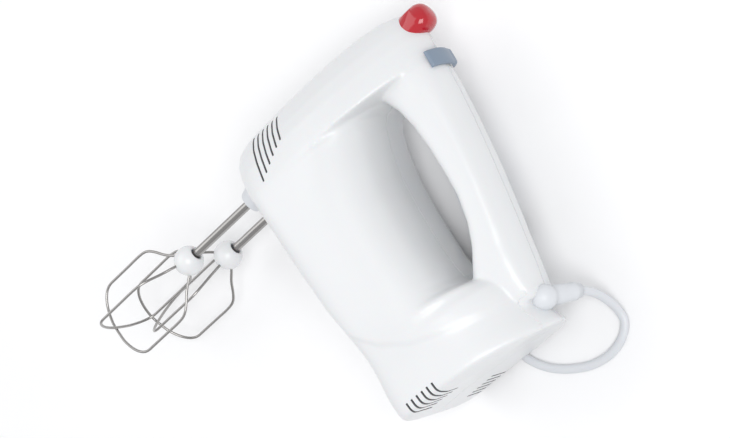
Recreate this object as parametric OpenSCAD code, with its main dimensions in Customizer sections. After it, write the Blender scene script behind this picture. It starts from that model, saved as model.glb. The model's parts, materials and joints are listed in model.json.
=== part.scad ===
// Electric hand mixer, lying on its right side, with two wire beaters.
// The mixer frame is x to the nose, y to the left side, z up when the beaters point down.
// stand() lays it down: row X = mixer x, row Y = minus mixer z, row Z = mixer y.

/* [Housing] */
// Reach of the nose in front of the beater axes
nose_reach = 32; // [30:0.5:40]
// Reach of the heel behind the beater axes
heel_reach = 156; // [150:1:190]
// Greatest width across both housing halves
body_w = 88; // [84:1:108]
// Width of the heel and skirt
heel_w = 82.6; // [78:0.2:86]
// Height of the top of the nose above the beater sockets
top_z = 131; // [128:1:160]
// Thickness of the moulded wall
wall = 2.5; // [2:0.1:3]
// Gap at the seam between the two halves
seam_gap = 0.2; // [0.1:0.05:0.4]
// Width of the handle
handle_w = 35; // [32:1:42]

/* [Vents] */
// Number of slots on each side of the nose
nose_vents = 6; // [4:1:6]
// Number of slots in each group on the heel
heel_vents = 6; // [4:1:6]
// Distance from slot to slot
vent_pitch = 3.9; // [3.5:0.1:4.2]
// Width of a slot
vent_w = 1.3; // [0.8:0.1:1.8]

/* [Beaters] */
// Distance between the beater axes
beater_gap = 38.2; // [38:0.2:44]
// Diameter of a beater shaft
shank_d = 5; // [4:0.1:5.4]
// Reach of the beaters below the sockets
beater_len = 127; // [110:1:150]
// Radius of a wire basket
basket_r = 23.2; // [20:0.1:24]
// Diameter of the basket wire
wire_d = 1.6; // [1.2:0.1:2]
// Diameter of the plastic hub
hub_d = 17; // [15:0.5:19]
// Distance from the sockets to the hub centre
hub_drop = 59; // [52:1:64]
// Turn of the left basket
left_turn = -3; // [-10:1:10]
// Turn of the right basket
right_turn = 28; // [20:1:40]

/* [Drive] */
// Height of the motor axis
axis_z = 28; // [27:0.5:30]
// Number of teeth on a drive wheel
wheel_teeth = 30; // [30:1:30]
// Pitch radius of the worm
worm_r = 4; // [3.8:0.1:4.2]
// Radius of the armature
armature_r = 12; // [10:0.5:12.5]
// Length of the armature and stator stacks
stack_len = 26; // [20:1:28]
// Diameter of the motor shaft
motor_shaft_d = 5; // [4:0.1:5.4]
// Radius of the fan
fan_r = 17; // [13:0.5:18]
// Running clearance around shafts
run_gap = 0.05; // [0.03:0.01:0.1]

/* [Controls] */
// Travel of the eject button
eject_travel = 5; // [3:0.5:5]
// Width of the eject button
button_w = 17; // [14:0.5:18]
// Length of the speed slider along the handle
slider_len = 9.6; // [8:0.2:11]
// Width of the speed slider across the handle
slider_w = 25; // [20:0.5:28]

/* [Cord] */
// Width of the flat cord
cord_w = 5; // [4.6:0.1:5.4]
// Thickness of the flat cord
cord_t = 3.4; // [3:0.1:3.6]
// Length of the folded hank
hank_len = 92; // [80:1:96]
// Width of the folded hank
hank_w = 26; // [24:0.5:27]
// Diameter of a plug pin
pin_d = 4; // [3.9:0.05:4.1]
// Free length of a plug pin
pin_len = 19; // [18:0.5:20]
// Distance between the plug pins
pin_gap = 18.6; // [17.5:0.1:19.2]

/* [Hidden] */

half = body_w / 2;
skirt = heel_w / 2;
grip = handle_w / 2;
seat_y = beater_gap / 2;
button_rise = 8;
origin_x = (heel_reach - nose_reach) / 2;
origin_y = (top_z + button_rise - beater_len) / 2;

// Lays the mixer on its right side on the floor.
module stand() translate([origin_x, origin_y, half]) rotate([90, 0, 0]) children();

// ---- housing sections: each row is one slice of the body across the mixer ----
nose_k = nose_reach / 32;
heel_k = heel_reach / 156;
LOW = [3, 0.42];
TALL = [2.3, 0.62];
HANDLE = [2.2, 0.5];

// x, bottom, level of the widest line, top, half width, side the wall thickens to, roundness
body_rows = [
    [-156, 6, 34, 101, 0.97 * skirt, 1, TALL],
    [-152, 4.5, 34, 99.5, skirt, 1, TALL],
    [-130, 5.5, 34, 96, skirt, 0, TALL],
    [-122, 7, 34, 96, skirt + 0.6, 0, TALL],
    [-117, 7.5, 33, 91, half - 1.6, -1, TALL],
    [-112.5, 8, 33, 77, half - 1, -1, LOW],
    [-108, 8, 32, 68, half - 0.5, 0, LOW],
    [-92, 6.5, 31, 66.3, half, 0, LOW],
    [-42, 4.5, 31, 70, half, 0, LOW],
    [-14, 3, 31, 80, half - 2, 0, LOW],
    [-9.7, 2.5, 31, 85, half - 3, 1, LOW],
    [-6.5, 2, 31, top_z - 3, half - 3.6, 1, TALL],
    [2, 1.5, 31, top_z - 1, half - 5.5, -1, TALL],
    [8, 1, 31, top_z, half - 8, -1, TALL],
    [14, 1, 32, top_z - 1, half - 10.6, -1, TALL],
    [19, 1.5, 33, top_z - 3, half - 15.5, -1, TALL],
    [23, 3, 35, top_z - 5.5, half - 20, -1, TALL],
    [26, 6, 40, top_z - 9, half - 25, -1, TALL],
    [31, 36, 64, top_z - 34, half - 37, -1, TALL],
    [32, 60, 72, top_z - 48, 6, -1, TALL]
];
handle_rows = [
    [-137, 86, 97, 101.5, grip - 3, 1, HANDLE],
    [-126, 74, 95, 105.3, grip - 1, 0, HANDLE],
    [-116, 74, 96, 107.8, grip, 0, HANDLE],
    [-108, 79, 97, 109.8, grip, 0, HANDLE],
    [-74, 96.2, 108, 117.8, grip, 0, HANDLE],
    [-44, 98.4, 112, 124.2, grip, 0, HANDLE],
    [-18, 96.5, 112, top_z - 2.8, grip + 1, 0, HANDLE],
    [-8, 92, 111, top_z - 1.8, grip + 1, 0, HANDLE],
    [14, 88, 104, top_z - 10, grip - 3, -1, HANDLE]
];
function stretched(x) = x * (x < 0 ? heel_k : nose_k);
// The body is built as flat slabs, one on another from the seam to the side: level of each step.
steps = [0, 9, 17.2, 24.3, 30.1, 36.4, 39.6, 42, 44];

// Share of the way from the widest line to the edge at which a slice is y wide.
function edge_share(y, w, roundness) = pow(1 - pow(min(y / w, 1), 1 / roundness[1]), 1 / roundness[0]);

// Side outline of a row list at the distance y from the seam, pulled in by t.
function upper(rows, y, t) = [for (s = rows) if (s[4] - t > y)
    let (z = s[2] + (s[3] - t - s[2]) * edge_share(y, s[4] - t, s[6])) [stretched(s[0]) + s[5] * t, z]];
function lower(rows, y, t) = [for (i = [len(rows) - 1:-1:0]) let (s = rows[i]) if (s[4] - t > y)
    let (z = s[2] - (s[2] - s[1] - t) * edge_share(y, s[4] - t, [6, 0.25])) [stretched(s[0]) + s[5] * t, z]];

// Slabs of one list of slices, each as wide as the slices are at its middle.
module slabs(rows, t, from) for (i = [0:len(steps) - 2]) {
    low = i == 0 ? from : steps[i] * half / 44 - t;
    high = steps[i + 1] * half / 44 - t;
    middle = (max(low, 0) + high) / 2;
    outline = concat(upper(rows, middle, t), lower(rows, middle, t));
    if (len(outline) > 5)
        translate([0, high, 0]) rotate([90, 0, 0]) linear_extrude(high - low) polygon(outline);
}

module body_skin(t, from) {
    slabs(body_rows, t, from);
    slabs(handle_rows, t, from);
}

module nose_slots() for (i = [0:nose_vents - 1])
    translate([-12 + 2.4 * i, 22.6, 21 + i * vent_pitch - vent_w / 2]) cube([18.5 - 2.4 * i, half, vent_w]);

module heel_slots() for (i = [0:heel_vents - 1])
    translate([-heel_reach - 6, 20, 18.6 + i * vent_pitch - vent_w / 2]) cube([14, half, vent_w]);

// Places of the screws that join the halves, seen from the side.
screw_sites = [[23.5 * nose_k, 70], [-36, 57], [-128 * heel_k, 18], [-128 * heel_k, 82], [-66, 107]];
screw_d = 3;
boss_d = 7.4;
head_y = 7;

module boss() rotate([-90, 0, 0]) cylinder(d = boss_d, h = 60, $fn = 32);
module hole(d, from) translate([0, from, 0]) rotate([-90, 0, 0]) cylinder(d = d, h = 60, $fn = 32);

// Ribs that hold the motor stack between the two halves.
module cradle() for (x = [stack_x + 3, stack_x + stack_len - 5])
    translate([x, stator_w, axis_z - stator_h + 2]) cube([2, 60, 2 * stator_h - 4]);

// The hollow inside, with the ribs and the screw posts left standing in it.
module hollow() difference() {
    body_skin(wall, -1);
    cradle();
    for (s = screw_sites)
        translate([s[0], seam_gap / 2, s[1]]) boss();
}

module half_shell(side) difference() {
    body_skin(0, seam_gap / 2);
    hollow();
    nose_slots();
    heel_slots();
    for (s = screw_sites)
        translate([s[0], 0, s[1]]) {
            if (side > 0) translate([0, -1, 0]) rotate([-90, 0, 0]) cylinder(d = screw_d, h = 12, $fn = 32);
            if (side < 0) hole(screw_d + 0.4, -1);
            if (side < 0) hole(6, head_y);
        }
    translate([0, seat_y, -10]) cylinder(r = socket_r + 0.1, h = 24, $fn = 48);
    translate([button_x, 0, top_z - 22]) linear_extrude(40) button_outline(0.3);
    translate([0, seat_y, axis_z - 3.2]) cylinder(r = pitch_r + tooth_h + 0.5, h = 6.4, $fn = 64);
    mirror([0, side < 0 ? 1 : 0, 0]) slider_place() {
        ring_piece(slider_len - 5, 1, slider_r + 12, -34, 10);
        ring_piece(slider_len + 0.4, slider_r - 0.1, slider_r + 8, -slider_span - 27, slider_span + 3);
    }
    mirror([0, side < 0 ? 1 : 0, 0]) relief_shape(0.2);
    if (side < 0)
        translate([-heel_reach - 4, skirt - 1.9, 44]) cube([34, 8, 14]);
}

module housing_left() color("white") stand() half_shell(1);
module housing_right() color("white") stand() mirror([0, 1, 0]) half_shell(-1);

module housing_screws() color("silver") stand() for (s = screw_sites)
    translate([s[0], 0, s[1]]) rotate([90, 0, 0]) {
        translate([0, 0, -7]) cylinder(d = screw_d - 0.1, h = 7 + head_y, $fn = 24);
        translate([0, 0, head_y]) difference() {
            cylinder(d = 5.6, h = 2.4, $fn = 24);
            translate([-0.5, -1.8, 1]) cube([1, 3.6, 3]);
            translate([-1.8, -0.5, 1]) cube([3.6, 1, 3]);
        }
    }

// ---- eject button, yoke and spring ----
button_x = 15 * nose_k;
button_top = top_z + button_rise;
yoke_z = 46;
yoke_t = 4;

// Outline of the eject button: a rounded triangle with its point forward.
function button_edge(a, grow) = (button_w / 2 + grow) * (1 + 0.07 * cos(3 * a)) * [cos(a), sin(a)];
module button_outline(grow) polygon([for (a = [0:30:330]) button_edge(a, grow)]);

module eject_button() color("crimson") stand() translate([button_x, 0, 0]) {
    translate([0, 0, top_z - 9]) linear_extrude(11) button_outline(0);
    for (i = [0:4])
        translate([0, 0, top_z + 2 + i * (button_rise - 2) / 5])
            linear_extrude((button_rise - 2) / 5) button_outline(-button_w / 2 * (1 - cos(i * 14)) - i * 0.15);
    translate([0, 0, top_z - 16]) cylinder(d = 8, h = 7, $fn = 32);
}

module eject_yoke() color("gray") stand() {
    translate([button_x, 0, yoke_z + yoke_t]) cylinder(d = 5, h = top_z - 16 - yoke_z - yoke_t, $fn = 32);
    translate([0, 0, yoke_z]) linear_extrude(yoke_t)
        polygon([[19, -4], [19, 4], [4, seat_y + 3.5], [-4, seat_y + 3.5], [-4, seat_y - 4], [10, 0],
            [-4, -seat_y + 4], [-4, -seat_y - 3.5], [4, -seat_y - 3.5]]);
}

spring_low = 88;
spring_high = top_z - 16.2;

module spring(r, wire, low, high, turns) {
    steps = turns * 10;
    sweep([for (i = [0:steps]) let (a = i * 36) [r * cos(a), r * sin(a), low + (high - low) * i / steps]],
        wire, wire, 4, [0, 0, 1]);
}

module eject_spring() color("silver") stand() translate([button_x, 0, 0])
    spring(4, 0.5, spring_low + 0.6, spring_high - 0.6, 6);

// A shelf across the nose, which the spring pushes against.
module spring_seat() color("gray") stand() difference() {
    translate([button_x - 7, -11, spring_low - 2]) cube([12, 22, 2]);
    translate([button_x, 0, spring_low - 3]) cylinder(d = 5.4, h = 4, $fn = 32);
}

// ---- speed slider ----
slider_x = -6;
slider_z = top_z - 2.2;
slider_tilt = -5;
slider_r = grip + 2.6;

module slider_place() translate([slider_x, 0, slider_z - slider_r + 1.4]) rotate([0, slider_tilt, 0]) children();

slider_span = slider_w / 2 / slider_r * 57.3;

// Part of a ring round the slider's axis: its length, radii, and first and last angle from the top.
module ring_piece(len, r_in, r_out, first, last) rotate([90, 0, 90]) intersection() {
    difference() {
        cylinder(r = r_out, h = len, center = true, $fn = 96);
        cylinder(r = r_in, h = len + 2, center = true, $fn = 96);
    }
    linear_extrude(len + 4, center = true)
        polygon(concat([[0, 0]], [for (i = [0:4])
            let (a = first + (last - first) * i / 4) 1.5 * r_out * [sin(a), cos(a)]]));
}

module speed_slider() color("slategray") stand() slider_place()
    ring_piece(slider_len, slider_r, slider_r + 2.2, -slider_span, slider_span);

module slider_lever() color("gray") stand() slider_place()
    ring_piece(slider_len - 5.6, slider_r - 9, slider_r, -6, 6);

module speed_switch() color("dimgray") stand() translate([-26, 0, 104]) {
    translate([-14, -8, 0]) cube([28, 16, 10]);
    translate([-14, -5, 10]) cube([8, 10, 2]);
}

module circuit_board() color("darkgreen") stand() translate([-104, -8, 96]) cube([16, 16, 1.4]);
module capacitor() color("goldenrod") stand() translate([-102.5, -5, 97.4]) cube([11, 10, 5]);

// ---- gearbox ----
frame_z = 10;
frame_t = 3;
cover_z = 35.5;
cover_t = 3;
hub_r = 6;
post_sites = [[18.5, 9], [18.5, -9], [-19.5, seat_y + 6], [-19.5, -seat_y - 6]];
bush_r = 4;

module plate_outline() polygon([[22, -11], [22, 11], [5, seat_y + 8], [-23, seat_y + 10],
    [-23, -seat_y - 10], [5, -seat_y - 8]]);

module gearbox_frame() color("silver") stand() difference() {
    union() {
        translate([0, 0, frame_z]) linear_extrude(frame_t) plate_outline();
        for (s = post_sites)
            translate([s[0], s[1], frame_z + frame_t]) cylinder(d = 4.6, h = cover_z - frame_z - frame_t, $fn = 24);
        translate([16.8, -5.5, frame_z + frame_t]) cube([4, 11, axis_z + 6 - frame_z - frame_t]);
    }
    for (y = [-seat_y, seat_y])
        translate([0, y, frame_z - 1]) cylinder(r = hub_r + run_gap, h = frame_t + 2, $fn = 48);
    for (s = post_sites)
        translate([s[0], s[1], cover_z - 8]) cylinder(d = 2.1, h = 9, $fn = 24);
    translate([15, 0, axis_z]) rotate([0, 90, 0]) cylinder(r = bush_r, h = 8, $fn = 32);
}

module gearbox_cover() color("silver") stand() difference() {
    translate([0, 0, cover_z]) linear_extrude(cover_t) plate_outline();
    for (y = [-seat_y, seat_y])
        translate([0, y, cover_z - 1]) cylinder(d = shank_d + 1, h = cover_t + 2, $fn = 32);
    for (s = post_sites)
        translate([s[0], s[1], cover_z - 1]) cylinder(d = 2.5, h = cover_t + 2, $fn = 24);
}

module gearbox_screws() color("gray") stand() for (s = post_sites)
    translate([s[0], s[1], 0]) {
        translate([0, 0, cover_z - 6]) cylinder(d = 2, h = 6 + cover_t, $fn = 24);
        translate([0, 0, cover_z + cover_t]) cylinder(d = 4, h = 1.6, $fn = 24);
    }

pitch_r = seat_y - worm_r;
tooth_h = 0.75;
tooth_gap = 0.15;

// Toothed outline: a wave around the pitch circle.
function wave(phase) = [for (i = [0:wheel_teeth * 10 - 1])
    let (a = i * 360 / (wheel_teeth * 10), r = pitch_r - tooth_gap + tooth_h * cos(wheel_teeth * a + phase))
    [r * cos(a), r * sin(a)]];

// The key slots that turn the beater are at the lower end of the wheel's sleeve.
module wheel(phase) difference() {
    union() {
        translate([0, 0, axis_z - 2.5]) linear_extrude(5) polygon(wave(phase));
        translate([0, 0, 4]) cylinder(r = hub_r, h = 30, $fn = 48);
    }
    translate([0, 0, 3]) cylinder(d = shank_d + 0.1, h = 40, $fn = 32);
    translate([-4.6, -1.1, 3]) cube([9.2, 2.2, 6]);
}

module gear_left() color("ivory") stand() translate([0, seat_y, 0]) wheel(0);
module gear_right() color("ivory") stand() translate([0, -seat_y, 0]) wheel(180);

worm_pitch = 2 * PI * pitch_r / wheel_teeth;
worm_turns = 6;
worm_phase = 90;

module worm() color("silver") stand() translate([0, 0, axis_z]) rotate([0, 90, 0]) difference() {
    translate([0, 0, -worm_turns * worm_pitch / 2]) rotate([0, 0, worm_phase])
        linear_extrude(worm_turns * worm_pitch, twist = -360 * worm_turns, slices = worm_turns * 10)
            translate([tooth_h, 0]) circle(r = worm_r - tooth_gap, $fn = 12);
    cylinder(d = motor_shaft_d, h = 60, center = true, $fn = 32);
}

// ---- motor ----
stack_x = -88;
function along(x) = [x, 0, axis_z];
module spun(x, r, len) translate(along(x)) rotate([0, 90, 0]) cylinder(r = r, h = len, $fn = 48);

module motor_shaft() color("silver") stand() spun(-117, motor_shaft_d / 2, 138);
module on_shaft() difference() {
    children();
    spun(-130, motor_shaft_d / 2, 160);
}
module armature_core() color("gray") stand() on_shaft() difference() {
    spun(stack_x, armature_r, stack_len);
    for (a = [0:30:330])
        translate(along(stack_x - 1)) rotate([a, 0, 0]) translate([0, -0.8, armature_r - 4]) cube([stack_len + 2, 1.6, 6]);
}
module armature_winding() color("orangered") stand() on_shaft() {
    spun(stack_x - 6.5, 8.2, 6.4);
    spun(stack_x + stack_len + 0.1, 8.2, 6.4);
}
module commutator() color("peru") stand() on_shaft() spun(stack_x - 17, 6, 9);
stator_h = 17;
stator_w = 24;
module coil_window(grow) for (y = [-1, 1], z = [-1, 1])
    translate([stack_x - 10, y * 15.4 - 3.4 - grow, axis_z + z * 11.5 - 2.8 - grow])
        cube([stack_len + 20, 6.8 + 2 * grow, 5.6 + 2 * grow]);
module stator_core() color("darkgray") stand() difference() {
    translate([stack_x, -stator_w, axis_z - stator_h]) cube([stack_len, 2 * stator_w, 2 * stator_h]);
    spun(stack_x - 1, armature_r + 0.5, stack_len + 2);
    coil_window(0.2);
}
module field_coils() color("orangered") stand() for (z = [-11.5, 11.5])
    translate([stack_x + stack_len / 2, 0, axis_z + z - 2.8]) difference() {
        translate([-stack_len / 2 - 7, -18.8, 0]) cube([stack_len + 14, 37.6, 5.6]);
        translate([-stack_len / 2 - 0.3, -12, -1]) cube([stack_len + 0.6, 24, 8]);
    }
module fan() color("white") stand() on_shaft() {
    spun(-50, 5, 8);
    spun(-50, fan_r, 1.4);
    for (a = [0:40:320])
        translate(along(-49)) rotate([a, 0, 0]) translate([0, -0.6, 4.2]) cube([6.4, 1.2, fan_r - 5.4]);
}

module bush(x, len) color("darkgoldenrod") stand() difference() {
    spun(x, bush_r, len);
    spun(x - 1, motor_shaft_d / 2 + run_gap, len + 2);
}
module bearing_front() bush(16.8, 4);
module bearing_middle() bush(-34, 4);
module bearing_rear() bush(-115, 4);

module bearing_bracket() color("silver") stand() difference() {
    translate([-34, -20, frame_z]) cube([4, 40, 32]);
    spun(-36, bush_r, 8);
    for (y = [-14, 14])
        translate([-36, y, axis_z]) rotate([0, 90, 0]) cylinder(r = 4, h = 8, $fn = 32);
}
module brush_bracket() color("dimgray") stand() difference() {
    union() {
        translate([-115, -20, 13]) cube([4, 40, 30]);
        for (y = [-13.5, 13.5])
            translate([-111, y - 6.5, axis_z - 7]) cube([16, 13, 3]);
    }
    spun(-117, bush_r, 8);
}
brush_x = stack_x - 12.5;
module both_sides() {
    children();
    mirror([0, 1, 0]) children();
}
module brush_holders() color("gold") stand() both_sides() difference() {
    translate([brush_x - 4.5, 8, axis_z - 4]) cube([9, 11, 8]);
    translate([brush_x - 3.1, 7, axis_z - 2.6]) cube([6.2, 11, 5.2]);
}
module carbon_brushes() color("black") stand() both_sides()
    translate([brush_x - 3, 6.1, axis_z - 2.5]) cube([6, 6.9, 5]);
module brush_springs() color("silver") stand() both_sides()
    translate([brush_x, 0, axis_z]) rotate([-90, 0, 0]) spring(1.8, 0.35, 13.5, 17.4, 3);

// ---- sockets and beaters ----
socket_r = 8;
module socket() difference() {
    union() {
        translate([0, 0, -4.4]) cylinder(r1 = socket_r - 1.4, r2 = socket_r, h = 5, $fn = 64);
        translate([0, 0, 0.6]) cylinder(r = socket_r, h = 3.2, $fn = 64);
    }
    translate([0, 0, -6]) cylinder(r = 5.2, h = 12, $fn = 48);
}
module socket_left() color("whitesmoke") stand() translate([0, seat_y, 0]) socket();
module socket_right() color("whitesmoke") stand() translate([0, -seat_y, 0]) socket();

shank_top = 40.5;
module shank() {
    translate([0, 0, -hub_drop - 3]) cylinder(d = shank_d, h = hub_drop + 3 + shank_top, $fn = 32);
    translate([-4.3, -1, 4]) cube([8.6, 2, 4.6]);
}
module beater_shaft_left() color("silver") stand() translate([0, seat_y, 0]) shank();
module beater_shaft_right() color("silver") stand() translate([0, -seat_y, 0]) shank();

hub_low = -hub_drop - 7;
module beater_hub() difference() {
    translate([0, 0, -hub_drop]) rotate_extrude($fn = 64) polygon(concat(
        [[0, -7]],
        [for (a = [-50:10:50]) [hub_d / 2 * cos(a), hub_d / 2 * 0.98 * sin(a)]],
        [[0, 7]]));
    translate([0, 0, -hub_drop - 3]) cylinder(d = shank_d, h = 20, $fn = 32);
    translate([0, 0, -hub_drop + 5]) cylinder(d1 = shank_d, d2 = shank_d + 2.4, h = 3, $fn = 32);
}
module beater_hub_left() color("white") stand() translate([0, seat_y, 0]) rotate([0, 0, left_turn]) wired(beater_r0) beater_hub();
module beater_hub_right() color("white") stand() translate([0, -seat_y, 0]) rotate([0, 0, right_turn]) wired(beater_r0) beater_hub();

beater_r0 = hub_d / 2 - 3.4;
shoulder_z = -hub_drop - 22;
straight_z = -beater_len + 14;

// One half of a wire loop from the hub to the tip: radius and level.
function loop_half(dip) = concat(
    [[beater_r0, -hub_drop - 3.5], [beater_r0 + 3, -hub_drop - 6.5]],
    [[basket_r * 0.55, -hub_drop - 12], [basket_r * 0.82, shoulder_z + 4.5], [basket_r * 0.96, shoulder_z]],
    [[basket_r, shoulder_z - 6], [basket_r, (shoulder_z + straight_z) / 2], [basket_r, straight_z + 4]],
    [for (a = [0:12:84]) [basket_r * cos(a), straight_z - (beater_len + straight_z - wire_d / 2 - dip) * sin(a)]]);

function loop_path(turn, dip) = let (h = loop_half(dip), n = len(h))
    [for (i = [0:2 * n - 2])
        let (q = i < n ? h[i] : h[2 * n - 2 - i], r = i < n ? q[0] : -q[0])
        [r * cos(turn), r * sin(turn), q[1]]];

module wire_loops() {
    sweep(loop_path(0, 0), wire_d / 2, wire_d / 2, 8, [0, 1, 0]);
    sweep(loop_path(90, wire_d + 0.3), wire_d / 2, wire_d / 2, 8, [1, 0, 0]);
}
// Cuts the wire holes out of the hub.
module wired(r0) difference() {
    children();
    for (a = [0:90:270])
        rotate([0, 0, a]) translate([r0 - 0.6, 0, -hub_drop - 2.9]) rotate([0, 135, 0])
            cylinder(d = wire_d + 0.1, h = 9, $fn = 24);
}
module wire_loops_left() color("silver") stand() translate([0, seat_y, 0]) rotate([0, 0, left_turn]) wire_loops();
module wire_loops_right() color("silver") stand() translate([0, -seat_y, 0]) rotate([0, 0, right_turn]) wire_loops();

// ---- sweep of an oval section along a path ----
function unit(v) = v / norm(v);
function tangent(p, i) = unit(p[min(i + 1, len(p) - 1)] - p[max(i - 1, 0)]);
module sweep(path, a, b, sides, up = [0, 0, 1]) {
    m = len(path);
    points = [for (i = [0:m - 1])
        let (t = tangent(path, i), s = unit(cross(t, up)), n = cross(s, t))
        for (k = [0:sides - 1])
            let (g = k * 360 / sides) path[i] + a * cos(g) * s + b * sin(g) * n];
    walls = [for (i = [0:m - 2]) for (k = [0:sides - 1])
        [i * sides + k, (i + 1) * sides + k, (i + 1) * sides + (k + 1) % sides, i * sides + (k + 1) % sides]];
    polyhedron(points, concat([[for (k = [0:sides - 1]) k]], walls,
        [[for (k = [sides - 1:-1:0]) (m - 1) * sides + k]]), convexity = 6);
}

// ---- cord outlet ----
ball_r = 6.8;
ball_at = [-141 * heel_k, 3, 99.5];
sleeve_end = [-145 * heel_k, -21, 107];

// Stands its children at a, pointing to b.
module aimed(a, b) {
    d = b - a;
    translate(a) rotate([0, acos(d[2] / norm(d)), atan2(d[1], d[0])]) children();
}
sleeve_len = norm(sleeve_end - ball_at);

module relief_shape(grow) {
    translate(ball_at) sphere(r = ball_r + grow, $fn = 48);
    aimed(ball_at, sleeve_end) cylinder(r1 = 5.6 + grow, r2 = 4 + grow, h = sleeve_len, $fn = 32);
}
module strain_relief() color("white") stand() relief_shape(0);

module cord_clamp() color("gray") stand() difference() {
    translate([-124.5, -9, 93.5]) cube([5, 18, 2.4]);
    for (y = [-6.5, 6.5])
        translate([-122, y, 93]) cylinder(d = 2.1, h = 4, $fn = 24);
}
module clamp_screws() color("silver") stand() for (y = [-6.5, 6.5])
    translate([-122, y, 0]) {
        translate([0, 0, 89]) cylinder(d = 2, h = 6.9, $fn = 24);
        translate([0, 0, 95.9]) cylinder(d = 4, h = 1.5, $fn = 24);
    }
module inner_leads() color("sienna") stand() for (y = [-2.6, 2.6])
    sweep([[-131, y, 92], [-126, y, 92.1], [-118, y, 92.1], [-112, y, 93.5], [-105, y, 95]], 1.1, 1.1, 8);

// ---- cord, in the lying frame ----
// Route from the sleeve along the floor, under the heel and into the hank.
lead_route = [
    [-83, -101, 23], [-85, -102.5, 19], [-89, -104, 13], [-95, -104.5, 7], [-102, -104, 2.9],
    [-108, -102, 1.8], [-113.5, -95, 1.8], [-116, -84.5, 1.8], [-114.5, -73, 1.8], [-109.5, -62, 1.8],
    [-102, -52, 1.8], [-92.5, -45, 1.8], [-82, -42, 1.8], [-72, -43, 1.8], [-62, -46.5, 1.8],
    [-52.5, -51.5, 1.8], [-44, -56.5, 1.8], [-35, -60, 2.2]
];
// Route from the top of the hank into the plug.
tail_route = [[14, 11.2, 7.8], [26, 11.2, 8], [34, 10, 9.3], [39.5, 5.5, 11.8], [40.5, -0.5, 14.2],
    [36, -4.8, 15.7], [30, -6, 16], [24, -6, 16]];
hank_at = [-6, -79];
hank_turn = -14;
hank_h = 2 * cord_w + 0.4;

// Points between those of a route, on a smooth curve through them.
function smooth(p, k) = [for (i = [0:len(p) - 2]) for (j = [0:k - 1])
    let (a = p[max(i - 1, 0)], b = p[i], c = p[i + 1], d = p[min(i + 2, len(p) - 1)], t = j / k)
    0.5 * (2 * b + (c - a) * t + (2 * a - 5 * b + 4 * c - d) * t * t + (3 * b - a - 3 * c + d) * t * t * t),
    p[len(p) - 1]];

module cord_lead() color("white")
    sweep(smooth(lead_route, 3), cord_w / 2, cord_t / 2, 8);

module hank_place() translate([hank_at[0], hank_at[1], 0]) rotate([0, 0, hank_turn]) children();
module stadium(len, w) {
    translate([-(len - w) / 2, 0]) circle(d = w, $fn = 48);
    translate([(len - w) / 2, 0]) circle(d = w, $fn = 48);
    translate([-(len - w) / 2, -w / 2]) square([len - w, w]);
}
module cord_hank() color("white") hank_place() linear_extrude(hank_h) stadium(hank_len, hank_w);

// A band round the rear end of the hank.
tie_at = -25;
tie_w = 5;
tie_t = 0.8;
module cord_tie() color("dimgray") hank_place() {
    for (y = [-hank_w / 2 - tie_t, hank_w / 2])
        translate([tie_at, y, 0]) cube([tie_w, tie_t, hank_h]);
    translate([tie_at, -hank_w / 2 - tie_t, hank_h]) cube([tie_w, hank_w + 2 * tie_t, tie_t]);
}

module cord_tail() color("white") hank_place() sweep(smooth(tail_route, 2), cord_w / 2, cord_t / 2, 8);

plug_face = -9;
plug_end = 24;
plug_side = -6;
plug_w = 24.4;
plug_t = 11;
plug_h = tail_route[7][2];
module plug_body() color("white") hank_place() translate([0, plug_side, plug_h - plug_t / 2])
    linear_extrude(plug_t) polygon([
        [plug_face, -plug_w / 2 + 1], [plug_face + 1, -plug_w / 2], [plug_end - 18, -plug_w / 2],
        [plug_end - 10, -8], [plug_end, -4.2], [plug_end, 4.2], [plug_end - 10, 8],
        [plug_end - 18, plug_w / 2], [plug_face + 1, plug_w / 2], [plug_face, plug_w / 2 - 1]]);
module plug_pins() color("silver") hank_place() for (y = [-pin_gap / 2, pin_gap / 2])
    translate([plug_face, plug_side + y, plug_h]) rotate([0, -90, 0]) {
        cylinder(d = pin_d, h = pin_len - 1, $fn = 32);
        translate([0, 0, pin_len - 1]) cylinder(d1 = pin_d, d2 = pin_d - 1.2, h = 1, $fn = 32);
    }

housing_left();
housing_right();
housing_screws();
eject_button();
eject_yoke();
eject_spring();
spring_seat();
speed_slider();
slider_lever();
speed_switch();
circuit_board();
capacitor();
gearbox_frame();
gearbox_cover();
gearbox_screws();
gear_left();
gear_right();
worm();
motor_shaft();
armature_core();
armature_winding();
commutator();
stator_core();
field_coils();
fan();
bearing_front();
bearing_middle();
bearing_rear();
bearing_bracket();
brush_bracket();
brush_holders();
carbon_brushes();
brush_springs();
socket_left();
socket_right();
beater_shaft_left();
beater_hub_left();
wire_loops_left();
beater_shaft_right();
beater_hub_right();
wire_loops_right();
strain_relief();
cord_clamp();
clamp_screws();
inner_leads();
cord_lead();
cord_hank();
cord_tie();
cord_tail();
plug_body();
plug_pins();
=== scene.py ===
# Electric hand mixer lying on its right side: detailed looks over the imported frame.
import json
import math

import bmesh
import bpy
from mathutils import Matrix, Vector, noise


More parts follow.
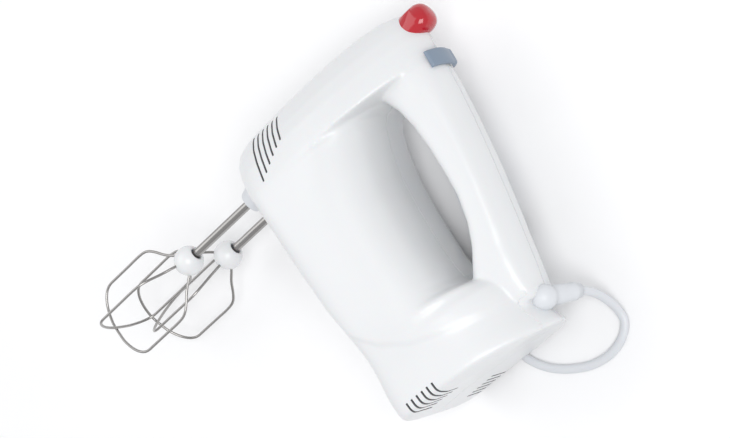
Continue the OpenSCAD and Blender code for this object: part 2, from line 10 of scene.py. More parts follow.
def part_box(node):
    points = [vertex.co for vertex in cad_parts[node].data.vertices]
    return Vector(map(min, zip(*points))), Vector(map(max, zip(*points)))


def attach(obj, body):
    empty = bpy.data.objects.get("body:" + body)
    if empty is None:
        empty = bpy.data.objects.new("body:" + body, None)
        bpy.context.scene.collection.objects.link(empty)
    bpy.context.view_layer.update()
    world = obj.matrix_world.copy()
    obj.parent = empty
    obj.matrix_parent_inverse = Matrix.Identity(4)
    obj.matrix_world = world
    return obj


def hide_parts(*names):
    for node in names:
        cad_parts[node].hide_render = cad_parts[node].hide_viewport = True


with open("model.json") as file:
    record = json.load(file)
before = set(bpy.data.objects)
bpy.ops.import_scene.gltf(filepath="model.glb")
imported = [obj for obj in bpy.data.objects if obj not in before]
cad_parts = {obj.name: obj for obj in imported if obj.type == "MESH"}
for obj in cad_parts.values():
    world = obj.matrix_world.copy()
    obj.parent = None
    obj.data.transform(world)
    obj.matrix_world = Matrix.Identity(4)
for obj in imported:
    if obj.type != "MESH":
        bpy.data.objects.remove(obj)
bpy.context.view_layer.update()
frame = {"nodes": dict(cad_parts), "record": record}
NODES = frame["nodes"]

# The mixer's own directions, in millimetres: x to the nose, y to its left side, z up
# when the beaters point down. It lies on its right side.
SHIFT_X = 62.0
SHIFT_Y = 6.0
HALF = 44.0
SKIRT = 41.3
GRIP = 17.5
TOP = 131.0
SEAT_Y = 19.1


def lie(x, y, z):
    """A point of the mixer as it lies on the floor, in metres."""
    return Vector(((x + SHIFT_X) / 1000, (SHIFT_Y - z) / 1000, (y + HALF) / 1000))


def turned(x, y, z):
    """A direction of the mixer as it lies."""
    return Vector((x, -z, y)).normalized()


# ---------------------------------------------------------------- camera
def add_camera():
    data = bpy.data.cameras.new("camera")
    camera = bpy.data.objects.new("camera", data)
    bpy.context.scene.collection.objects.link(camera)
    forward = turned(0.2636, -0.8546, -0.4474)
    up = -turned(-0.7979, 0.0675, -0.5990)
    right = forward.cross(up).normalized()
    up = right.cross(forward).normalized()
    place = lie(-310.5, 860.5, 488.3)
    camera.matrix_world = Matrix(
        ((right.x, up.x, -forward.x, place.x), (right.y, up.y, -forward.y, place.y),
         (right.z, up.z, -forward.z, place.z), (0, 0, 0, 1))
    )
    data.sensor_width = 36
    data.lens = 92.1
    data.clip_end = 20
    bpy.context.scene.camera = camera


add_camera()


# ---------------------------------------------------------------- node groups and materials
def new_group(name, inputs, outputs):
    tree = bpy.data.node_groups.new(name, "ShaderNodeTree")
    for title, kind, value in inputs:
        socket = tree.interface.new_socket(title, in_out="INPUT", socket_type=kind)
        socket.default_value = value
    for title, kind in outputs:
        tree.interface.new_socket(title, in_out="OUTPUT", socket_type=kind)
    start = tree.nodes.new("NodeGroupInput")
    end = tree.nodes.new("NodeGroupOutput")
    return tree, start, end


def make_moulding_group():
    """Fine moulded texture: small height grain and patches of slightly different gloss and tint."""
    tree, start, end = new_group(
        "moulded_surface",
        [("Grain Scale", "NodeSocketFloat", 1800.0), ("Gloss", "NodeSocketFloat", 0.3),
         ("Gloss Change", "NodeSocketFloat", 0.06), ("Tint", "NodeSocketColor", (0.8, 0.8, 0.8, 1)),
         ("Tint Shade", "NodeSocketColor", (0.7, 0.7, 0.7, 1))],
        [("Color", "NodeSocketColor"), ("Roughness", "NodeSocketFloat"), ("Height", "NodeSocketFloat")],
    )
    add = tree.nodes.new
    link = tree.links.new
    place = add("ShaderNodeTexCoord")
    grain = add("ShaderNodeTexNoise")
    grain.inputs["Detail"].default_value = 2
    link(place.outputs["Object"], grain.inputs["Vector"])
    link(start.outputs["Grain Scale"], grain.inputs["Scale"])
    cloud = add("ShaderNodeTexNoise")
    cloud.inputs["Scale"].default_value = 28
    cloud.inputs["Detail"].default_value = 4
    link(place.outputs["Object"], cloud.inputs["Vector"])
    spread = add("ShaderNodeMath")
    spread.operation = "SUBTRACT"
    spread.inputs[1].default_value = 0.5
    link(cloud.outputs["Fac"], spread.inputs[0])
    change = add("ShaderNodeMath")
    change.operation = "MULTIPLY_ADD"
    link(spread.outputs[0], change.inputs[0])
    link(start.outputs["Gloss Change"], change.inputs[1])
    link(start.outputs["Gloss"], change.inputs[2])
    mix = add("ShaderNodeMix")
    mix.data_type = "RGBA"
    link(cloud.outputs["Fac"], mix.inputs["Factor"])
    link(start.outputs["Tint"], mix.inputs[6])
    link(start.outputs["Tint Shade"], mix.inputs[7])
    link(mix.outputs[2], end.inputs["Color"])
    link(change.outputs[0], end.inputs["Roughness"])
    link(grain.outputs["Fac"], end.inputs["Height"])
    return tree


MOULDED = make_moulding_group()


def finish(name, tint, shade, gloss, change=0.06, grain=1800.0, height=0.02, metallic=0.0, coat=0.0,
           subsurface=0.0, specular=0.5):
    """A material whose colour, gloss and small relief come from the shared moulded surface."""
    material = bpy.data.materials.new(name)
    material.use_nodes = True
    tree = material.node_tree
    shader = tree.nodes["Principled BSDF"]
    surface = tree.nodes.new("ShaderNodeGroup")
    surface.node_tree = MOULDED
    surface.inputs["Grain Scale"].default_value = grain
    surface.inputs["Gloss"].default_value = gloss
    surface.inputs["Gloss Change"].default_value = change
    surface.inputs["Tint"].default_value = (*tint, 1)
    surface.inputs["Tint Shade"].default_value = (*shade, 1)
    bump = tree.nodes.new("ShaderNodeBump")
    bump.inputs["Strength"].default_value = 0.25
    bump.inputs["Distance"].default_value = height / 1000
    tree.links.new(surface.outputs["Color"], shader.inputs["Base Color"])
    tree.links.new(surface.outputs["Roughness"], shader.inputs["Roughness"])
    tree.links.new(surface.outputs["Height"], bump.inputs["Height"])
    tree.links.new(bump.outputs["Normal"], shader.inputs["Normal"])
    shader.inputs["Metallic"].default_value = metallic
    shader.inputs["Coat Weight"].default_value = coat
    shader.inputs["Coat Roughness"].default_value = 0.05
    shader.inputs["Subsurface Weight"].default_value = subsurface
    shader.inputs["Subsurface Scale"].default_value = 0.002
    shader.inputs["Specular IOR Level"].default_value = specular
    return material


LOOKS = {
    "white_shell": finish("white_shell_plastic", (0.78, 0.79, 0.8), (0.75, 0.76, 0.77), 0.3, 0.08, 2600, 0.02, subsurface=0.06),
    "zinc_steel": finish("zinc_plated_steel", (0.66, 0.67, 0.69), (0.56, 0.57, 0.6), 0.32, 0.12, 900, 0.02, metallic=1),
    "red_button": finish("crimson_gloss_plastic", (0.5, 0.008, 0.02), (0.42, 0.005, 0.014), 0.12, 0.03, 900, 0.005, coat=0.6),
    "grey_nylon": finish("grey_nylon", (0.42, 0.43, 0.45), (0.36, 0.37, 0.39), 0.5),
    "spring_steel": finish("drawn_steel", (0.58, 0.59, 0.62), (0.48, 0.49, 0.52), 0.28, 0.1, 1400, 0.01, metallic=1),
    "blue_grey": finish("blue_grey_satin_plastic", (0.23, 0.29, 0.37), (0.2, 0.255, 0.33), 0.38, 0.08, 2200, 0.02),
    "black_plastic": finish("black_plastic", (0.03, 0.03, 0.034), (0.022, 0.022, 0.026), 0.45),
    "board_green": finish("circuit_laminate", (0.03, 0.16, 0.07), (0.02, 0.11, 0.05), 0.35),
    "capacitor_yellow": finish("capacitor_yellow", (0.6, 0.4, 0.05), (0.52, 0.34, 0.04), 0.3),
    "gear_nylon": finish("natural_acetal", (0.78, 0.76, 0.68), (0.72, 0.7, 0.61), 0.42, subsurface=0.05),
    "lamination_steel": finish("stacked_laminations", (0.2, 0.21, 0.23), (0.13, 0.135, 0.15), 0.5, 0.2, 3000, 0.05, metallic=1),
    "copper_wire": finish("enamelled_copper", (0.5, 0.16, 0.05), (0.36, 0.1, 0.03), 0.3, 0.1, 1500, 0.05, metallic=0.8),
    "commutator_copper": finish("turned_copper", (0.72, 0.36, 0.2), (0.6, 0.28, 0.15), 0.26, 0.1, 1500, 0.02, metallic=1),
    "bronze": finish("sintered_bronze", (0.5, 0.33, 0.13), (0.4, 0.25, 0.1), 0.45, 0.1, 2500, 0.05, metallic=1),
    "carbon": finish("carbon_block", (0.02, 0.02, 0.023), (0.014, 0.014, 0.016), 0.6),
    "socket_plastic": finish("satin_white_socket", (0.66, 0.68, 0.71), (0.62, 0.64, 0.67), 0.36),
    "beater_chrome": finish("bright_chrome", (0.42, 0.41, 0.4), (0.34, 0.33, 0.32), 0.2, 0.08, 700, 0.008, metallic=1),
    "hub_plastic": finish("white_hub_plastic", (0.8, 0.81, 0.82), (0.76, 0.77, 0.78), 0.25, 0.06, 2000, 0.01, subsurface=0.05),
    "white_rubber": finish("soft_white_moulding", (0.72, 0.74, 0.77), (0.68, 0.7, 0.73), 0.42),
    "lead_brown": finish("brown_insulation", (0.16, 0.07, 0.03), (0.12, 0.05, 0.02), 0.4),
    "cord_white": finish("smooth_cord_sheath", (0.7, 0.72, 0.75), (0.66, 0.68, 0.71), 0.34, 0.08, 1600, 0.02, subsurface=0.04),
    "tie_grey": finish("grey_strap", (0.09, 0.1, 0.12), (0.07, 0.08, 0.1), 0.55, 0.1, 3200, 0.05),
    "pin_nickel": finish("nickel_plate", (0.7, 0.68, 0.62), (0.62, 0.6, 0.55), 0.22, 0.08, 900, 0.01, metallic=1),
}
# Painted shade: a mid grey for the walls of the vent slots, standing in for the shade inside them; the plastic there is
# the same white as outside.
VENT_SHADE_PAINT = finish("painted_vent_shade", (0.3, 0.3, 0.31), (0.24, 0.24, 0.25), 0.6)

SLOT_OF = {part["node"]: part["material_slot"] for part in frame["record"]["subparts"]}
for node, thing in NODES.items():
    thing.data.materials.clear()
    thing.data.materials.append(LOOKS[SLOT_OF[node]])


# ---------------------------------------------------------------- mesh helpers
def new_piece(name, mesh, slot_name, body, nodes=(), smooth=True):
    thing = bpy.data.objects.new(name, mesh)
    bpy.context.scene.collection.objects.link(thing)
    if not mesh.materials:
        mesh.materials.append(LOOKS[slot_name])
    if smooth:
        mesh.polygons.foreach_set("use_smooth", [True] * len(mesh.polygons))
    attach(thing, body)
    if nodes:
        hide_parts(*nodes)
    return thing


def mesh_of(name, points, faces):
    mesh = bpy.data.meshes.new(name)
    mesh.from_pydata([tuple(p) for p in points], [], faces)
    mesh.update()
    return mesh


def rings_to_mesh(name, rings, closed=True):
    """Skin through rings of equal length, capped at both ends."""
    count = len(rings[0])
    points = [p for ring in rings for p in ring]
    faces = []
    for j in range(len(rings) - 1):
        for i in range(count):
            k = (i + 1) % count
            faces.append((j * count + i, j * count + k, (j + 1) * count + k, (j + 1) * count + i))
    if closed:
        faces.append(tuple(reversed(range(count))))
        faces.append(tuple((len(rings) - 1) * count + i for i in range(count)))
    return mesh_of(name, points, faces)


def curve_between(points, parts):
    """A smooth line through the points, with this many parts between each pair."""
    line = []
    last = len(points) - 1
    for i in range(last):
        a, b = points[max(i - 1, 0)], points[i]
        c, d = points[i + 1], points[min(i + 2, last)]
        for j in range(parts):
            t = j / parts
            line.append(0.5 * (2 * b + (c - a) * t + (2 * a - 5 * b + 4 * c - d) * t * t
                               + (3 * b - a - 3 * c + d) * t * t * t))
    line.append(points[-1])
    return line


def swept_tube(name, path, wide, thick, sides, up, twist=None):
    """An oval tube along a path. twist gives the turn of the section at each point, in radians."""
    rings = []
    last = len(path) - 1
    for i, p in enumerate(path):
        along = (path[min(i + 1, last)] - path[max(i - 1, 0)]).normalized()
        side = along.cross(up).normalized()
        top = side.cross(along)
        turn = twist[i] if twist else 0.0
        one = side * math.cos(turn) + top * math.sin(turn)
        two = top * math.cos(turn) - side * math.sin(turn)
        rings.append([p + one * (wide / 2 * math.cos(g)) + two * (thick / 2 * math.sin(g))
                      for g in (k * 2 * math.pi / sides for k in range(sides))])
    return rings_to_mesh(name, rings)


def lathe(name, profile, start, direction, sides=64):
    """A turned piece: profile is radius and distance along the direction, in metres."""
    along = direction.normalized()
    side = along.orthogonal().normalized()
    other = along.cross(side)
    rings = [[start + along * d + (side * math.cos(g) + other * math.sin(g)) * r
              for g in (k * 2 * math.pi / sides for k in range(sides))] for r, d in profile]
    return rings_to_mesh(name, rings)


# ---------------------------------------------------------------- cord
CORD_W = 0.005
CORD_T = 0.0034
LEAD = [Vector(p) / 1000 for p in [
    (-83, -101, 23), (-85, -102.5, 19), (-89, -104, 13), (-95, -104.5, 7), (-102, -104, 2.9),
    (-108, -102, 1.8), (-113.5, -95, 1.8), (-116, -84.5, 1.8), (-114.5, -73, 1.8), (-109.5, -62, 1.8),
    (-102, -52, 1.8), (-92.5, -45, 1.8), (-82, -42, 1.8), (-72, -43, 1.8), (-62, -46.5, 2.1),
    (-52.5, -51.5, 2.5), (-44, -56.5, 2.6), (-35, -60, 2.6)]]
TAIL = [(14, 11.2, 7.8), (26, 11.2, 8), (34, 10, 9.3), (39.5, 5.5, 11.8), (40.5, -0.5, 14.2),
        (36, -4.8, 15.7), (30, -6, 16), (24, -6, 16)]
HANK_AT = Vector((-6, -79, 0)) / 1000
HANK_TURN = math.radians(-14)
STRAIGHT = 33.0
OUTER = 11.2
INNER = 7.7
LOW = 2.6
HIGH = 7.7


def in_hank(s, y, h):
    """A point of the hank's own frame, in millimetres, on the floor."""
    return HANK_AT + Vector((s * math.cos(HANK_TURN) - y * math.sin(HANK_TURN),
                             s * math.sin(HANK_TURN) + y * math.cos(HANK_TURN), h)) / 1000


def ease(t):
    t = min(max(t, 0.0), 1.0)
    return t * t * (3 - 2 * t)


def hank_points():
    """The folded part of the cord: run, fold, run, fold, three times, the last half higher."""
    line = []

    def run(sign, offset, height, start=-STRAIGHT, stop=STRAIGHT):
        for i in range(13):
            s = start + (stop - start) * i / 12
            line.append((sign * s, sign * offset(s), height(s)))

    def fold(sign, radius, height):
        for i in range(1, 12):
            g = math.pi * i / 12
            line.append((sign * (STRAIGHT + radius * math.sin(g)), sign * radius * math.cos(g), height))

    run(1, lambda s: OUTER, lambda s: LOW)
    fold(1, OUTER, LOW)
    run(-1, lambda s: OUTER - (OUTER - INNER) * ease(s / STRAIGHT), lambda s: LOW)
    fold(-1, INNER, LOW)
    run(1, lambda s: INNER, lambda s: LOW)
    fold(1, INNER, LOW)
    run(-1, lambda s: INNER, lambda s: LOW + (HIGH - LOW) * ease((s + 20) / 18))
    fold(-1, INNER, HIGH)
    run(1, lambda s: INNER, lambda s: HIGH)
    fold(1, INNER, HIGH)
    run(-1, lambda s: INNER + (OUTER - INNER) * ease((s + STRAIGHT) / 15), lambda s: HIGH)
    fold(-1, OUTER, HIGH)
    run(1, lambda s: OUTER, lambda s: HIGH, -STRAIGHT, 10)
    return [in_hank(*p) for p in line]


def add_cord():
    lead = curve_between(LEAD, 4)
    hank = hank_points()
    tail = curve_between([in_hank(*p) for p in TAIL], 4)
    path = lead + hank[1:] + tail
    turns = []
    for i in range(len(path)):
        on_edge = ease((i - len(lead) + 16) / 16) * (1 - ease((i - len(lead) - len(hank) + 2) / 22))
        turns.append(on_edge * math.pi / 2)
    mesh = swept_tube("mains_cord", path, CORD_W, CORD_T, 16, Vector((0, 0, 1)), turns)
    cord = new_piece("mains_cord", mesh, "cord_white", "body", ["cord_lead", "cord_hank", "cord_tail"])


add_cord()


# ---------------------------------------------------------------- housing shells
# Slices of the body across the mixer: x, bottom, widest level, top, half width, roundness above.
LOW_SLICE = (3.0, 0.42)
TALL_SLICE = (2.3, 0.62)
GRIP_SLICE = (2.2, 0.5)
BODY = [
    (-151.2, 8, 34, 99.5, 38.6, TALL_SLICE), (-150.6, 6, 34, 100.2, 40.2, TALL_SLICE),
    (-149.2, 4.6, 34, 100, 41.1, TALL_SLICE), (-146, 4, 34, 98.5, SKIRT, TALL_SLICE),
    (-140, 3.8, 34, 95.5, SKIRT, TALL_SLICE), (-134, 4.5, 34, 94.5, SKIRT, TALL_SLICE),
    (-127, 6, 34, 95.5, SKIRT + 0.2, TALL_SLICE), (-121, 7.2, 34, 94, SKIRT + 0.9, TALL_SLICE),
    (-117, 7.6, 33, 90, HALF - 1.6, TALL_SLICE), (-113.5, 8, 33, 80, HALF - 1.1, LOW_SLICE),
    (-110, 8, 32, 71, HALF - 0.7, LOW_SLICE), (-105, 7.8, 32, 67.5, HALF - 0.3, LOW_SLICE),
    (-98, 7, 31, 66.4, HALF, LOW_SLICE), (-80, 5.2, 31, 66.3, HALF, LOW_SLICE),
    (-62, 4.6, 31, 67.6, HALF, LOW_SLICE), (-42, 4.5, 31, 70, HALF, LOW_SLICE),
    (-25, 4, 31, 75, HALF - 0.6, LOW_SLICE), (-14, 3, 31, 80, HALF - 2, LOW_SLICE),
    (-10, 2.7, 31, 84, HALF - 2.7, LOW_SLICE), (-8, 2.2, 31, 96, HALF - 3.2, TALL_SLICE),
    (-6, 1.8, 31, TOP - 4, HALF - 3.8, TALL_SLICE), (0, 1, 31, TOP - 1.2, HALF - 6, TALL_SLICE),
    (8, 0.8, 31, TOP + 0.2, HALF - 9.2, TALL_SLICE), (16, 1, 32, TOP - 1.5, HALF - 13.6, TALL_SLICE),
    (22, 2.6, 34, TOP - 4.8, HALF - 18.8, TALL_SLICE), (26, 7, 40, TOP - 9.5, HALF - 24, TALL_SLICE),
    (29, 18, 52, TOP - 18, HALF - 30, TALL_SLICE), (31, 36, 64, TOP - 34, HALF - 36.5, TALL_SLICE),
    (31.8, 56, 70, TOP - 50, 3, TALL_SLICE),
]
HANDLE = [
    (-137.5, 88, 97, 100.8, 11.5, GRIP_SLICE), (-135, 84, 96, 102.4, 14.4, GRIP_SLICE),
    (-126, 74, 95, 105.3, GRIP - 1, GRIP_SLICE), (-116, 73, 96, 107.8, GRIP, GRIP_SLICE),
    (-108, 79, 97, 109.8, GRIP, GRIP_SLICE), (-99, 86, 101, 112, GRIP, GRIP_SLICE),
    (-88, 92, 104, 114.6, GRIP, GRIP_SLICE), (-74, 96.2, 108, 117.8, GRIP, GRIP_SLICE),
    (-61, 97.6, 110, 120.7, GRIP, GRIP_SLICE), (-44, 98.4, 112, 124.2, GRIP, GRIP_SLICE),
    (-30, 98.2, 113, TOP - 4.4, GRIP + 0.4, GRIP_SLICE), (-18, 96.5, 112, TOP - 2.6, GRIP + 0.9, GRIP_SLICE),
    (-8, 92, 111, TOP - 1.8, GRIP + 0.8, GRIP_SLICE), (4, 88, 108, TOP - 3, GRIP - 2, GRIP_SLICE),
    (14, 86, 104, TOP - 10, GRIP - 6, GRIP_SLICE),
]
HEEL_LEAN = 0.00115


def leaned(x, z):
    """The heel's face leans back towards its top and its bottom edge."""
    return x - HEEL_LEAN * (z - 34) ** 2 * min(max((-x - 132) / 15, 0), 1)


def fine_rows(rows, parts):
    """More slices between those given."""
    line = []
    for i in range(len(rows) - 1):
        a, b = rows[i], rows[i + 1]
        for j in range(parts):
            t = j / parts
            mixed = [a[k] + (b[k] - a[k]) * t for k in range(5)]
            shape = tuple(a[5][k] + (b[5][k] - a[5][k]) * t for k in range(2))
            line.append((*mixed, shape))
    line.append(rows[-1])
    return line


def slice_ring(row, steps=28):
    x, low, mid, high, wide, (power, root) = row
    ring = []
    for i in range(4 * steps):
        angle = math.radians(i * 90 / steps)
        left = angle < math.pi
        over = angle if left else 2 * math.pi - angle
        up = over > math.pi / 2
        share = min(abs(math.cos(over)), 1.0)
        level = mid + (high - mid) * share if up else mid - (mid - low) * share
        if share > 0.9999:
            reach = 0.0
        else:
            reach = wide * ((1 - share ** power) ** root if up else (1 - share ** 6) ** 0.25)
        ring.append(lie(leaned(x, level), reach if left else -reach, level))
    return ring


def apply_modifiers(thing):
    bpy.context.view_layer.update()
    shaped = bpy.data.meshes.new_from_object(thing.evaluated_get(bpy.context.evaluated_depsgraph_get()))
    thing.modifiers.clear()
    thing.data = shaped
    return shaped


def temporary(name, mesh):
    thing = bpy.data.objects.new(name, mesh)
    bpy.context.scene.collection.objects.link(thing)
    return thing


def box_points(low, high):
    return [(x, y, z) for x in (low[0], high[0]) for y in (low[1], high[1]) for z in (low[2], high[2])]


BOX_FACES = [(0, 1, 3, 2), (4, 6, 7, 5), (0, 4, 5, 1), (2, 3, 7, 6), (0, 2, 6, 4), (1, 5, 7, 3)]


def rounded_slot(a, b, axis, depth, width):
    """A slot cutter from a to b with round ends, cut along an axis."""
    along = (b - a).normalized()
    other = axis.cross(along).normalized()
    outline = []
    for centre, sense in ((b, 1), (a, -1)):
        for i in range(9):
            g = -math.pi / 2 + math.pi * i / 8
            outline.append(centre + sense * (along * math.cos(g) + other * math.sin(g)) * width / 2)
    return [[p - axis * depth / 2 for p in outline], [p + axis * depth / 2 for p in outline]]


VENT_PITCH = 3.9
VENT_W = 1.25


def vent_cutters():
    """Rows of slots on both sides of the nose and round both corners of the heel."""
    cutters = []
    for side in (1, -1):
        for i in range(6):
            level = 21 + i * VENT_PITCH
            front = Vector(lie(25.5, side * 26, level))
            rear = Vector(lie(-4.5 + 3.1 * i, side * 37, level))
            along = (front - rear).normalized()
            up = Vector((0, -1, 0))
            axis = up.cross(along).normalized()
            cutters.append(rounded_slot(rear, front, axis, 0.022, VENT_W / 1000))
            level = 18.6 + i * 3.78
            near = Vector(lie(-154, side * 20, level))
            far = Vector(lie(-154, side * 48, level))
            cutters.append(rounded_slot(near, far, Vector((1, 0, 0)), 0.017, VENT_W / 1000))
    return cutters


VOXEL = 0.0011
SMOOTH_PASSES = 8
SEAM_GAP = 0.5


def add_housing():
    blank = bmesh.new()
    for rows in (BODY, HANDLE):
        part = rings_to_mesh("part", [slice_ring(r) for r in fine_rows(rows, 3)])
        blank.from_mesh(part)
    mesh = bpy.data.meshes.new("blank")
    bmesh.ops.recalc_face_normals(blank, faces=blank.faces)
    blank.to_mesh(mesh)
    blank.free()
    whole = temporary("blank", mesh)
    remesh = whole.modifiers.new("remesh", "REMESH")
    remesh.mode = "VOXEL"
    remesh.voxel_size = VOXEL
    smooth = whole.modifiers.new("smooth", "SMOOTH")
    smooth.factor = 0.5
    smooth.iterations = SMOOTH_PASSES
    apply_modifiers(whole)
    add_step(whole.data)
    cutters = bmesh.new()
    for rings in vent_cutters():
        cutters.from_mesh(rings_to_mesh("slot", rings))
    bmesh.ops.recalc_face_normals(cutters, faces=cutters.faces)
    cut_mesh = bpy.data.meshes.new("vents")
    cutters.to_mesh(cut_mesh)
    cutters.free()
    # The slot cutters carry the painted vent shade, which the boolean passes onto the slot walls.
    cut_mesh.materials.append(VENT_SHADE_PAINT)
    knife = temporary("vents", cut_mesh)
    for name, direction, node in (("shell_left", -1, "housing_left"), ("shell_right", 1, "housing_right")):
        half = bmesh.new()
        half.from_mesh(whole.data)
        seam = Vector((0, 0, (HALF - direction * SEAM_GAP / 2) / 1000))
        geometry = half.verts[:] + half.edges[:] + half.faces[:]
        cut = bmesh.ops.bisect_plane(half, geom=geometry, plane_co=seam,
                                     plane_no=Vector((0, 0, direction)), clear_outer=True)
        rim = [e for e in cut["geom_cut"] if isinstance(e, bmesh.types.BMEdge)]
        bmesh.ops.triangle_fill(half, edges=rim, use_beauty=True, use_dissolve=False)
        bmesh.ops.recalc_face_normals(half, faces=half.faces)
        shape = bpy.data.meshes.new(name)
        half.to_mesh(shape)
        half.free()
        shape.materials.append(LOOKS["white_shell"])
        # Second slot: the painted shade on the vent slot walls.
        shape.materials.append(VENT_SHADE_PAINT)
        thing = temporary(name, shape)
        boolean = thing.modifiers.new("vents", "BOOLEAN")
        boolean.operation = "DIFFERENCE"
        boolean.solver = "EXACT"
        boolean.material_mode = "TRANSFER"
        boolean.object = knife
        shape = apply_modifiers(thing)
        shape.polygons.foreach_set("use_smooth", [True] * len(shape.polygons))
        shape.set_sharp_from_angle(angle=math.radians(38))
        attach(thing, "body")
        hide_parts(node)
    bpy.data.objects.remove(knife)
    bpy.data.objects.remove(whole)


# The upper shell stands a little proud of the heel skirt along this line: x and z.
STEP_LINE = [(-134, 105), (-135, 95), (-132.6, 76), (-128.6, 57.5), (-122.6, 40), (-113, 25), (-99, 13),
             (-85, 9), (-60, 4)]
STEP_DEPTH = 1.1


def step_x(z):
    for (xa, za), (xb, zb) in zip(STEP_LINE, STEP_LINE[1:]):
        if zb <= z <= za:
            return xa + (xb - xa) * (z - za) / (zb - za)
    return -136 if z > 100 else -50


def add_step(mesh):
    """Sinks the skirt behind the step line, so a soft shoulder shows along it."""
    for vertex in mesh.vertices:
        x = vertex.co.x * 1000 - SHIFT_X
        z = SHIFT_Y - vertex.co.y * 1000
        y = vertex.co.z * 1000 - HALF
        if x > -40 or z > 98 or abs(y) < 14:
            continue
        behind = ease((step_x(z) - x) / 5.0 + 0.5)
        fade = ease((-x - 60) / 40)
        vertex.co.z -= math.copysign(STEP_DEPTH / 1000, y) * behind * fade


add_housing()


# ---------------------------------------------------------------- button and slider
def add_button():
    low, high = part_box("eject_button")
    centre = Vector(((low[0] + high[0]) / 2, 0, (low[2] + high[2]) / 2))
    radius = (high[2] - low[2]) / 2
    top = low[1]
    bottom = high[1]
    profile = [(0.5, bottom), (0.5, bottom - 0.007), (0.93, bottom - 0.007), (0.985, bottom - 0.0085)]
    profile += [(0.985, top + 0.0078)]
    for i in range(12):
        g = i / 11 * math.pi / 2
        profile.append((0.985 * math.cos(g * 0.98) ** 0.7, top + 0.0078 - 0.0078 * math.sin(g)))
    rings = []
    for share, level in profile:
        ring = []
        for k in range(72):
            g = k * math.pi / 36
            reach = max(radius * share, 0.0001) * (1 + 0.06 * math.cos(3 * g) * min(share * 1.3, 1))
            ring.append(Vector((centre.x + reach * math.cos(g), level, centre.z + reach * math.sin(g))))
        rings.append(ring)
    mesh = rings_to_mesh("eject_cap", rings)
    cap = new_piece("eject_cap", mesh, "red_button", "ejector", ["eject_button"])
    mesh.set_sharp_from_angle(angle=math.radians(50))
    return cap


add_button()

SLIDER_X = -6.0
SLIDER_Z = 110.1
SLIDER_R = 20.1
SLIDER_TILT = math.radians(5)


def on_slider(along, radius, angle):
    """A point round the slider's own axis: along it, at a radius and an angle from the top."""
    z = radius * math.cos(angle)
    return lie(SLIDER_X + along * math.cos(SLIDER_TILT) - z * math.sin(SLIDER_TILT), radius * math.sin(angle),
               SLIDER_Z + z * math.cos(SLIDER_TILT) + along * math.sin(SLIDER_TILT))


def add_slider():
    """A saddle over the handle with rounded edges and a raised thumb ridge at its far end."""
    half_len = 4.75
    span = 12.4 / SLIDER_R
    section = []
    for i in range(17):
        g = math.pi * i / 16
        section.append((half_len * math.copysign(abs(math.cos(g)) ** 0.35, math.cos(g)), 2.2 * math.sin(g) ** 0.4))
    rings = []
    for j in range(61):
        t = j / 60
        angle = span * (2 * t - 1)
        end = min(t, 1 - t) * 60
        grow = min(1.0, (1 - (1 - min(end / 4, 1)) ** 2) ** 0.5 * 0.85 + 0.15)
        ridge = 1.0 * math.exp(-((angle + span * 0.72) / 0.09) ** 2)
        rings.append([on_slider(a, SLIDER_R + 0.02 + (h + ridge * min(h / 2.2, 1)) * grow, angle) for a, h in section])
    mesh = rings_to_mesh("speed_saddle", rings)
    new_piece("speed_saddle", mesh, "blue_grey", "speed_control", ["speed_slider"])
    mesh.set_sharp_from_angle(angle=math.radians(60))


add_slider()


# ---------------------------------------------------------------- beaters
HUB_DROP = 59.0
LENGTH = 127.0
BASKET_R = 23.2
WIRE = 1.6


def loop_half(dip):
    start = 5.1
    shoulder = -HUB_DROP - 22
    straight = -LENGTH + 14
    line = [(start, -HUB_DROP - 3.5), (start + 3, -HUB_DROP - 6.5), (BASKET_R * 0.55, -HUB_DROP - 12),
            (BASKET_R * 0.82, shoulder + 4.5), (BASKET_R * 0.96, shoulder), (BASKET_R, shoulder - 6),
            (BASKET_R, (shoulder + straight) / 2), (BASKET_R, straight + 4)]
    for i in range(8):
        g = math.radians(12 * i)
        line.append((BASKET_R * math.cos(g), straight - (LENGTH + straight - WIRE / 2 - dip) * math.sin(g)))
    return line


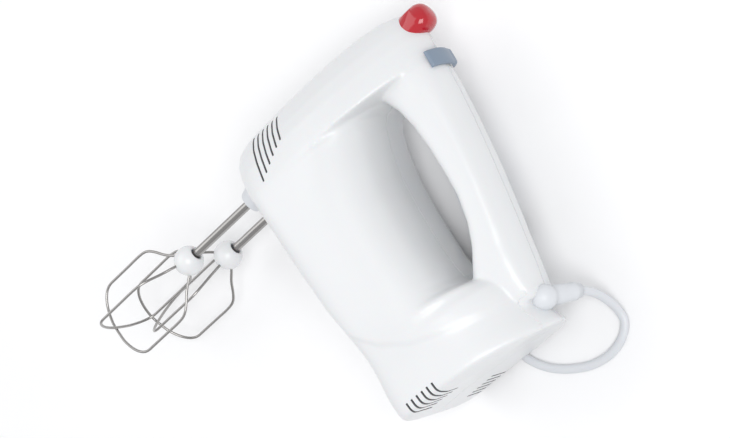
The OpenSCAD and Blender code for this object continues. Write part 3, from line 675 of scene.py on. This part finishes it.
def add_beater(side, turn, body, tag):
    turn = math.radians(turn)
    for quarter, dip in ((0, 0.0), (math.pi / 2, WIRE + 0.3)):
        half = loop_half(dip)
        full = half + [(-r, z) for r, z in reversed(half[:-1])]
        g = turn + quarter
        path = [lie(r * math.cos(g), side * SEAT_Y + r * math.sin(g), z) for r, z in full]
        path = curve_between(path, 4)
        normal = turned(-math.sin(g), math.cos(g), 0)
        mesh = swept_tube("wire_loop", path, WIRE / 1000, WIRE / 1000, 14, normal)
        nodes = [f"wire_loops_{tag}"] if quarter == 0 else []
        new_piece(f"wire_loop_{tag}_{'a' if quarter == 0 else 'b'}", mesh, "beater_chrome", body, nodes)
    hub = []
    for i in range(15):
        g = math.radians(-52 + 104 * i / 14)
        hub.append((8.5 * math.cos(g), 8.4 * math.sin(g)))
    profile = [(0.1, -7.4), (4.4, -7.3)] + hub + [(4.6, 7.0), (3.6, 6.7), (3.45, 5.2), (2.55, 5.0), (0.1, 5.0)]
    base = lie(0, side * SEAT_Y, -HUB_DROP)
    mesh = lathe("hub", [(r / 1000, h / 1000) for r, h in profile], base, turned(0, 0, 1))
    new_piece(f"hub_{tag}", mesh, "hub_plastic", body, [f"beater_hub_{tag}"])
    mesh.set_sharp_from_angle(angle=math.radians(45))
    ring = [(2.6, 5.05), (3.5, 5.05), (3.5, 5.5), (2.6, 5.5)]
    mesh = lathe("hub_seal", [(r / 1000, h / 1000) for r, h in ring], base, turned(0, 0, 1), 48)
    mesh.materials.append(LOOKS["tie_grey"])
    new_piece(f"hub_seal_{tag}", mesh, "tie_grey", body)


add_beater(1, -3, "beater_left", "left")
add_beater(-1, 28, "beater_right", "right")


# ---------------------------------------------------------------- cord outlet
def add_strain_relief():
    start = lie(-141, 3, 99.5)
    end = lie(-145, -21, 107)
    along = end - start
    length = along.length
    profile = [(0.0001, -0.0068)]
    for i in range(1, 16):
        g = math.pi * i / 20
        profile.append((0.0068 * math.sin(g), -0.0068 * math.cos(g)))
    profile += [(0.0054, length * 0.32), (0.0051, length * 0.5), (0.0046, length * 0.72), (0.0049, length * 0.76),
                (0.0049, length * 0.84), (0.0042, length * 0.88), (0.004, length * 0.99), (0.0035, length)]
    mesh = lathe("cord_sleeve", profile, start, along, 56)
    new_piece("cord_sleeve", mesh, "white_rubber", "body", ["strain_relief"])


add_strain_relief()


# ---------------------------------------------------------------- floor and light
def add_floor():
    size = 6.0
    points = [(-size, -size, 0), (size, -size, 0), (size, size, 0), (-size, size, 0)]
    floor = temporary("floor", mesh_of("floor", points, [(0, 1, 2, 3)]))
    material = finish("pale_floor", (0.93, 0.93, 0.935), (0.92, 0.92, 0.925), 0.6, 0.02, 60, 0.001)
    floor.data.materials.append(material)


def add_light(name, place, target, size, power):
    data = bpy.data.lights.new(name, "AREA")
    data.size = size
    data.energy = power
    thing = bpy.data.objects.new(name, data)
    bpy.context.scene.collection.objects.link(thing)
    thing.location = place
    thing.rotation_euler = (Vector(target) - Vector(place)).to_track_quat("-Z", "Y").to_euler()


def add_world():
    world = bpy.data.worlds.new("studio")
    world.use_nodes = True
    world.node_tree.nodes["Background"].inputs["Color"].default_value = (0.98, 0.985, 1, 1)
    world.node_tree.nodes["Background"].inputs["Strength"].default_value = 0.62
    bpy.context.scene.world = world
    bpy.context.scene.view_settings.view_transform = "Standard"


add_floor()
add_world()
add_light("key", (-0.5, -0.6, 1.5), (0, 0, 0), 1.0, 14)
add_light("fill", (0.9, 0.6, 1.1), (0, 0, 0), 1.2, 5)
